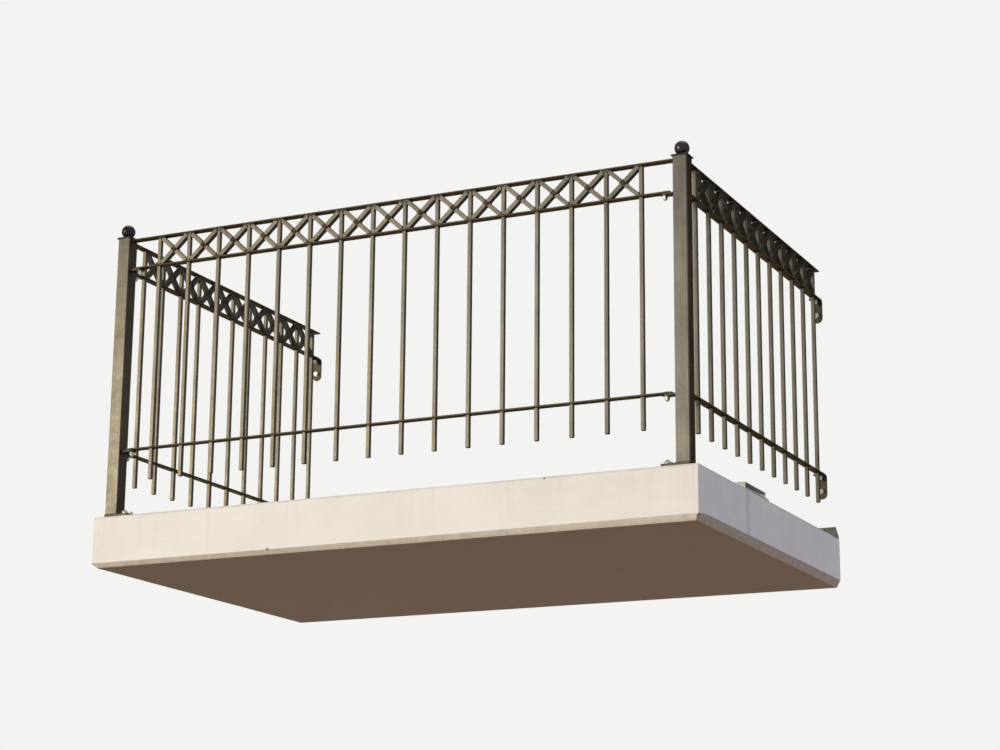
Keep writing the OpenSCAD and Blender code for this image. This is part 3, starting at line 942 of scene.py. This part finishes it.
def build_panels(panels):
    """Bars, braces and rails of the three panels."""
    bars, braces, rails, top = bars_recipe(), braces_recipe(), rail_recipe(), length_recipe()
    for panel in panels:
        upright_bars(panel, bars)
        crossed_braces(panel, braces)
        for level in LEVELS:
            punched_rail(panel, level, rails)
        handrail(panel, top)


# The welds

def brace_face(level, s, y):
    """Street face (y = -1) or inner face (y = 1) of the brace that ends on this side of a bar."""
    rising = (level == 0) == (s > 0)
    return y * BRACE_D / 2 if rising or y > 0 else BRACE_D / 2 - FALLING_D


def bar_beads(panel, i):
    """Where a bar and the ends of its braces meet the rails, and up the bar beside each brace."""
    middle, half = panel.first + i * panel.pitch, BAR_W / 2
    face, off_rail = half + 1.1 * MM, 0.5 * MM
    braced = [s for s in (-1, 1) if 0 <= i + (s - 1) // 2 < panel.count - 1]
    beads = []
    for level in (0, 1):
        for y in (-1, 1):
            run = [(middle + s * (half - 1 * MM), y * face, off_rail) for s in (-1, 1)]
            for s in braced:
                out = brace_face(level, s, y) + y * 0.3 * MM
                more = [(middle + s * (half + d), out, off_rail) for d in (1 * MM, panel.on_rail + 1 * MM)]
                run = run + more if s > 0 else more[::-1] + run
            beads.append(panel.bead(level, run))
            for s in braced:
                x = middle + s * (half + 0.4 * MM)
                out = y * min(face, abs(brace_face(level, s, y)) + 0.6 * MM)
                beads.append(panel.bead(level, [(x, out, 1 * MM), (x, out, panel.on_bar + 1 * MM)]))
    return beads


def wedge_beads(panel, i):
    """In the corners of a bay: one bead between brace and rail, one between brace and bar."""
    left = panel.first + BAR_W / 2 + i * panel.pitch
    to_rail, to_bar = panel.slope / 2, (pi / 2 - panel.slope) / 2
    off_rail, off_bar = 2.6 * MM, 2.4 * MM
    beads = []
    for level in (0, 1):
        for corner, s in ((left, 1), (left + panel.bay, -1)):
            street, inner = brace_face(level, s, -1) + 0.5 * MM, brace_face(level, s, 1) - 0.5 * MM
            for x, z in ((panel.on_rail + off_rail * cos(to_rail), off_rail * sin(to_rail)),
                         (off_bar * sin(to_bar), panel.on_bar + off_bar * cos(to_bar))):
                ends = (street, (street + inner) / 2, inner)
                beads.append(panel.bead(level, [(corner + s * x, y, z) for y in ends]))
    return beads


def crossing_beads(panel, i):
    """Round the falling brace on both sides of a crossing, and a weave over the crossing's two faces."""
    x, z = panel.first + (i + 0.5) * panel.pitch, (panel.under - panel.over) / 2
    wide, high, slope = panel.on_rail, panel.on_bar, panel.slope
    street, inner = BRACE_D / 2 - FALLING_D - 0.4 * MM, BRACE_D / 2 + 0.4 * MM
    loops = [[(x + s * wide, street, z), (x, street, z - s * high), (x, inner, z - s * high),
              (x + s * wide, inner, z), (x + s * wide, street, z)] for s in (-1, 1)]
    weave = [(step * WEAVE_STEP, (-1) ** step * (BRACE_W / 2 - 2 * MM)) for step in range(-3, 4)]
    weaves = [[(x + on * cos(slope) - aside * sin(slope), y * (BRACE_D / 2 - 1.2 * MM),
                z + on * sin(slope) + aside * cos(slope)) for on, aside in weave] for y in (-1, 1)]
    return [panel.bead(0, path) for path in loops + weaves]


def on_post_faces(side, out, outline):
    """A line on the post's face towards the front panel, and the same on that towards the side panel."""
    off = POST_HALF + out
    return [[(side * (POST_X - off), POST_Y + across, z) for across, z in outline],
            [(side * POST_X + across, POST_Y + off, z) for across, z in outline]]


def post_beads(word, side):
    """Round a post's foot, over and under its lugs, and round the ends of its two top rails."""
    foot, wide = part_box(word + "_base_plate")[1].z + 0.6 * MM, 2 * POST_HALF + 2 * MM
    ring = [(side * POST_X + x, POST_Y + y, foot) for x, y in rounded(wide, wide, 5 * MM, steps=5)]
    beads = [ring + ring[:1]]
    for level in LEVELS:
        lug_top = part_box(f"front_{level}_rail")[0].z
        for z in (lug_top + 0.2 * MM, lug_top - RAIL_T - 0.2 * MM):
            beads += on_post_faces(side, 0.3 * MM, [(y, z) for y in (-LUG_BEAD_HALF, 0.0, LUG_BEAD_HALF)])
    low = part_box("front_top_rail")[0].z
    section = handrail_section()
    return beads + on_post_faces(side, 0.4 * MM, [(y, low + z) for y, z in section[1:] + section[:2]])


def build_welds(panels):
    """Beads in the corners where bars, braces, rails, lugs, posts and plates meet."""
    recipe = weld_recipe()

    def weld(name, beads, coat, **sizes):
        made(name, recipe, lines(beads), "weathered_iron", coat, angle=50.0, **sizes)

    for panel in panels:
        bays = range(panel.count - 1)
        beads = [line for i in range(panel.count) for line in bar_beads(panel, i)]
        beads += [line for i in bays for line in wedge_beads(panel, i)]
        crossings = [line for i in bays for line in crossing_beads(panel, i)]
        weld(panel.name + "_frieze_welds", beads, WELD, bead_radius=FRIEZE_BEAD_R, ripple=0.9,
             taper_length=3 * MM, seed=3 + panel.number)
        weld(panel.name + "_crossing_welds", crossings, DARK_WELD, bead_radius=CROSSING_BEAD_R,
             ripple=0.45, taper_length=3 * MM, seed=6 + panel.number)
    for word, side in SIDES.items():
        weld(word + "_post_welds", post_beads(word, side), WELD, bead_radius=POST_BEAD_R, ripple=0.8,
             taper_length=5 * MM, seed=21 + side)


# The fasteners

def bolt_places():
    """Where the rails are bolted down: on the lugs of both posts and on the wall brackets."""
    places = []
    for side in SIDES.values():
        for level in LEVELS:
            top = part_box(f"front_{level}_rail")[1].z
            places += [(side * (POST_X - POST_HALF - LUG_BOLT), POST_Y, top),
                       (side * POST_X, POST_Y + POST_HALF + LUG_BOLT, top),
                       (side * POST_X, -BRACKET_BOLT, top)]
    return places


def plate_anchor_places():
    """Two anchors in each base plate."""
    return [(side * (POST_X - POST_HALF - PLATE_HOLE), POST_Y + s * PLATE_PITCH / 2,
             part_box(word + "_base_plate")[1].z) for word, side in SIDES.items() for s in (-1, 1)]


def wall_anchor_places():
    """One anchor in each wall bracket, drawn standing up, to be laid over so that it points out."""
    return [(side * POST_X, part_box(f"{word}_{level}_wall_bracket")[1].z - ANCHOR_DROP, BRACKET_T)
            for word, side in SIDES.items() for level in LEVELS.values()]


def build_fasteners():
    """Bolts and nuts on the rails, and anchors in the base plates and wall brackets."""
    bolts, grip = dots(bolt_places()), 2 * RAIL_T
    made("rail_bolt_heads", bolt_head_recipe(), bolts, "weathered_iron", RAIL_IRON, head_radius=WASHER_R,
         shank_radius=SHANK_R, grip=grip, seed=5)
    made("domed_rail_nuts", domed_nut_recipe(), bolts, "zinc_sheet", BRIGHT, across_flats=NUT_ACROSS,
         washer_radius=WASHER_R, grip=grip, seed=6)
    anchor = anchor_recipe()
    sizes = {"across_flats": NUT_ACROSS, "washer_radius": WASHER_R, "shank_radius": SHANK_R}
    made("base_plate_anchors", anchor, dots(plate_anchor_places()), "zinc_sheet", BRIGHT,
         stud_height=PLATE_STUD_H, seed=8, **sizes)
    made("wall_anchors", anchor, dots(wall_anchor_places()), "zinc_sheet", BRIGHT, turn=(pi / 2, 0.0, 0.0),
         stud_height=WALL_STUD_H, seed=9, **sizes)


# Slab, sheet and posts

def slab_block(low, high):
    """The slab with its lower bevel and worn arrises; the edges of its rear face stay sharp."""
    block = bmesh.new()
    bmesh.ops.create_cube(block, size=1.0)
    middle, size = (low + high) / 2, high - low
    for v in block.verts:
        v.co = Vector([middle[i] + v.co[i] * size[i] for i in range(3)])

    def lies_in(edge, axis, place):
        return all(abs(v.co[axis] - place) < 0.01 * MM for v in edge.verts)

    def at_street_corner(edge):
        a, b = (v.co for v in edge.verts)
        return abs(a.z - b.z) > 1 * MM and all(
            abs(abs(p.x) - high.x) < CHAMFER * 1.01 and p.y - low.y < CHAMFER * 1.01 for p in (a, b))

    lower = [e for e in block.edges if lies_in(e, 2, low.z) and not lies_in(e, 1, high.y)]
    bmesh.ops.bevel(block, geom=lower, offset=CHAMFER, segments=1, profile=0.5, affect="EDGES")
    worn = [e for e in block.edges
            if (lies_in(e, 2, high.z) and not lies_in(e, 1, high.y)) or at_street_corner(e)]
    bmesh.ops.bevel(block, geom=worn, offset=ARRIS, segments=4, profile=0.5, affect="EDGES")
    return block


def cut_up(block, low, high):
    """Cuts the slab's faces into a grid, so that they can be worn unevenly."""
    size = high - low
    cuts = [(0, low.x + size.x * i / 64) for i in range(1, 64)]
    cuts += [(1, low.y + size.y * i / 40) for i in range(1, 40)]
    cuts += [(2, low.z + up) for up in (8 * MM, UNCHANGED_ABOVE, 75 * MM, 105 * MM, 140 * MM)]
    for axis, place in cuts:
        across = Vector([float(axis == i) for i in range(3)])
        bmesh.ops.bisect_plane(block, geom=block.verts[:] + block.edges[:] + block.faces[:],
                               plane_co=across * place, plane_no=across, dist=0.005 * MM)


def grow_bevel(block, low, high):
    """Makes the bevel taller towards the right end of the front, and tallest along the right side."""
    for v in block.verts:
        p = v.co
        tall = CHAMFER + CHAMFER_GAIN_FRONT * progress(p.x, -0.3, 1.1)
        if p.x > high.x - 1.1 * CHAMFER:
            tall += CHAMFER_GAIN_SIDE * progress(p.y - low.y, CHAMFER, CHAMFER + 30 * MM)
        up = p.z - low.z
        if up < CHAMFER + 0.01 * MM:
            p.z = low.z + up * tall / CHAMFER
        elif up < UNCHANGED_ABOVE:
            squeezed = (UNCHANGED_ABOVE - tall) / (UNCHANGED_ABOVE - CHAMFER)
            p.z = low.z + tall + (up - CHAMFER) * squeezed


def wear(block, rear):
    """Pushes the faces in by up to a millimetre, in soft waves; the rear face stays flat."""
    block.normal_update()
    for v in block.verts:
        if v.co.y <= rear - 0.1 * MM:
            wave = 0.5 + 0.5 * noise.noise(v.co * 5.0) + 0.25 * noise.noise(v.co * 23.0)
            v.co -= v.normal * FACE_WEAR * min(max(wave, 0.0), 1.2)


def build_slab():
    """Cast slab: uneven lower bevel, worn arrises, faintly wavy painted faces."""
    low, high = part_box("slab")
    block = slab_block(low, high)
    cut_up(block, low, high)
    grow_bevel(block, low, high)
    wear(block, high.y)
    fit(shade(worked("cast_slab", block, SLAB), 25.0), "painted_concrete", "slab")


def flashing_section(foot, tall):
    """Sheet with its foot on the slab, bent up at the back, and hemmed along its top edge."""
    t, lip = SHEET_T, 0.4 * MM

    def bend(r, steps):
        return [(r * sin(pi / 16 * k) - FOLD_R, FOLD_R - r * cos(pi / 16 * k)) for k in steps]

    hem = [(0.0, tall - 1 * MM), (-lip, tall), (-2 * t + lip, tall), (-2 * t, tall - 1 * MM),
           (-2 * t, tall - HEM_H), (-t - 0.6 * MM, tall - HEM_H - lip), (-t, tall - HEM_H - 1.4 * MM)]
    return [(-foot, 0.0), *bend(FOLD_R, range(9)), *hem, *bend(FOLD_R - t, range(8, -1, -1)), (-foot, t)]


def build_flashing():
    """Folded flashing, its upstand cut back towards the top edge at both ends."""
    low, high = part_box("wall_flashing")
    tall = high.z - low.z
    sheet = made("folded_flashing", length_recipe(), along_x(flashing_section(high.y - low.y, tall)),
                 "zinc_sheet", ZINC, ["wall_flashing"], start=low.x, end=high.x, level=low.z,
                 unevenness=0.0, wave=3.0, seed=2)
    for v in sheet.data.vertices:
        if abs(v.co.x) > high.x - 2 * MM:
            v.co.x -= copysign(END_CUT, v.co.x) * (v.co.z - low.z) / tall


def build_outlet():
    """The drain outlet, and the bed of mortar that it lies on, spread by hand."""
    eased("drain_outlet", 0.5 * MM, OUTLET_ZINC, "zinc_sheet")
    low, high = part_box("drain_outlet")
    middle = (high.x - BED_IN, low.y + BED_ALONG, DECK + 1 * MM)
    bed = bmesh.new()
    bmesh.ops.create_cube(bed, size=2.0)
    bmesh.ops.subdivide_edges(bed, edges=bed.edges[:], cuts=9, use_grid_fill=True)
    # Without a seed, the noise below would follow the clock
    noise.seed_set(BED_SEED)
    for v in bed.verts:
        p = v.co.lerp(v.co.normalized() * max(abs(c) for c in v.co), 0.45)
        v.co = Vector([middle[i] + p[i] * BED_HALF[i] for i in range(3)])
        v.co += Vector(noise.noise_vector(v.co * 60.0)) * 1.6 * MM
        v.co.x = min(v.co.x, high.x + 4.6 * MM)
        if v.co.x > high.x:
            v.co.z = min(v.co.z, DECK + 5 * MM)
    fit(shade(worked("mortar_bed", bed, MORTAR), 60.0), "painted_concrete")


def ball_profile(height, ball_r):
    """A ball on its low collar, as (radius, height) points from the cap upwards."""
    centre = height - ball_r
    collar = [(COLLAR_R - 0.8 * MM, 0.0), (COLLAR_R, 0.7 * MM), (COLLAR_R, COLLAR_H - 1.1 * MM),
              (COLLAR_R - 0.5 * MM, COLLAR_H - 0.4 * MM), (COLLAR_R - 1.1 * MM, COLLAR_H + 0.2 * MM)]
    begin = atan2(NECK_R, COLLAR_H - centre)
    turns = [begin * (1 - k / BALL_RINGS) for k in range(1, BALL_RINGS)]
    return collar + [(ball_r * sin(a), centre + ball_r * cos(a)) for a in turns]


def build_posts():
    """Posts with their caps, balls, base plates, lugs and wall brackets."""
    for word in SIDES:
        eased(word + "_post", 0.4 * MM, POST_IRON, "weathered_iron")
        eased(word + "_post_cap", 0.6 * MM, DARK_IRON, "dark_iron")
        eased(word + "_base_plate", 0.9 * MM, RAIL_IRON, "weathered_iron")
        for level in LEVELS.values():
            eased(f"{word}_{level}_lugs", 0.6 * MM, RAIL_IRON, "weathered_iron")
            # The wall brackets take the darker rail paint as painted shade, where the wall and frieze shade
            # them
            eased(f"{word}_{level}_wall_bracket", 0.7 * MM, RAIL_IRON, "weathered_iron")
        low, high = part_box(word + "_post_ball")
        profile = ball_profile(high.z - low.z, (high.x - low.x) / 2)
        middle = ((low.x + high.x) / 2, (low.y + high.y) / 2, low.z)
        ball = turned(word + "_turned_ball", profile, middle, BALL_SIDES, DARK_IRON)
        fit(shade(ball, 40.0), "dark_iron", word + "_post_ball")


# Floor, light, camera

def seen_rays(w):
    """1 for what the camera sees, directly or mirrored; 0 for the light that falls on the balcony."""
    rays = w.tree.nodes.new("ShaderNodeLightPath").outputs
    return w.put("ShaderNodeMath", operation="ADD", use_clamp=True, plugs={
        0: w.plus(rays["Is Camera Ray"], rays["Is Glossy Ray"]), 1: rays["Is Transmission Ray"]})


def glow(w, kind, colour):
    """A shader that gives off one colour at full strength."""
    return w.put(kind, plugs={"Color": (*colour, 1.0), "Strength": 1.0})


def build_floor():
    """Plain pale floor, which is clear from below."""
    bpy.ops.mesh.primitive_plane_add(size=90.0, location=(0.0, 0.0, FLOOR_Z))
    floor = bpy.context.object
    floor.name = "studio_floor"
    coat = bpy.data.materials.new("studio_floor_paint")
    coat.use_nodes = True
    w = Wiring(coat.node_tree)
    w.tree.nodes.remove(w.tree.nodes["Principled BSDF"])
    matt = w.put("ShaderNodeBsdfDiffuse", plugs={"Color": (0.60, 0.60, 0.60, 1.0)})
    pale = w.put("ShaderNodeAddShader", plugs={0: matt, 1: glow(w, "ShaderNodeEmission", (0.28, 0.27, 0.21))})
    dim = glow(w, "ShaderNodeEmission", (0.137, 0.086, 0.052))
    shown = w.put("ShaderNodeMixShader", plugs={0: seen_rays(w), 1: dim, 2: pale})
    below = w.put("ShaderNodeNewGeometry", "Backfacing")
    clear = w.put("ShaderNodeBsdfTransparent")
    both = w.put("ShaderNodeMixShader", plugs={0: below, 1: shown, 2: clear})
    w.tree.links.new(both, w.tree.nodes["Material Output"].inputs["Surface"])
    floor.data.materials.append(coat)


def build_world():
    """Pale background, and cool, even light from all round."""
    scene.world = bpy.data.worlds.new("studio_world")
    scene.world.use_nodes = True
    w = Wiring(scene.world.node_tree)
    w.tree.nodes.clear()
    around = glow(w, "ShaderNodeBackground", (0.57, 0.63, 0.86))
    pale = glow(w, "ShaderNodeBackground", (0.90, 0.895, 0.88))
    both = w.put("ShaderNodeMixShader", plugs={0: seen_rays(w), 1: around, 2: pale})
    w.tree.links.new(both, w.tree.nodes.new("ShaderNodeOutputWorld").inputs["Surface"])


def add_sun(name, towards, strength, colour, angle):
    """A broad, soft light from far away; towards points from the balcony to it."""
    lamp = bpy.data.lights.new(name, "SUN")
    lamp.energy, lamp.color, lamp.angle = strength, colour, radians(angle)
    light = bpy.data.objects.new(name, lamp)
    scene.collection.objects.link(light)
    light.rotation_euler = Vector(towards).to_track_quat("Z", "Y").to_euler()


def build_lights():
    """A warm light from the front left, and a broad one from above."""
    add_sun("key_light", towards=(-0.60, -0.77, 0.04), strength=2.78, colour=(1.0, 0.92, 0.69), angle=16.0)
    add_sun("top_light", towards=(0.0, 0.25, 1.0), strength=1.45, colour=(1.0, 0.88, 0.58), angle=50.0)


def build_camera():
    """Camera where the photograph was taken: below the slab, to the right of the front."""
    yaw, pitch, roll = radians(25.759), radians(14.398), radians(0.446)
    place = Vector((3.6916, -8.1488, -1.4718))
    forward = Vector((-sin(yaw) * cos(pitch), cos(yaw) * cos(pitch), sin(pitch)))
    right = forward.cross(Vector((0.0, 0.0, 1.0))).normalized()
    up = right.cross(forward)
    across, upright = right * cos(roll) + up * sin(roll), up * cos(roll) - right * sin(roll)
    lens = bpy.data.cameras.new("camera")
    lens.sensor_fit, lens.sensor_width, lens.lens = "HORIZONTAL", 36.0, 84.52
    lens.clip_start, lens.clip_end = 0.05, 200.0
    camera = bpy.data.objects.new("camera", lens)
    scene.collection.objects.link(camera)
    turn = Matrix((across, upright, -forward)).transposed().to_4x4()
    camera.matrix_world = Matrix.Translation(place) @ turn
    scene.camera = camera


build_camera()
build_slab()
build_flashing()
build_outlet()
build_posts()
three_panels = [Panel(name, number) for number, name in enumerate(BARS)]
build_panels(three_panels)
build_welds(three_panels)
build_fasteners()
build_floor()
build_world()
build_lights()
scene.view_settings.view_transform = "Standard"
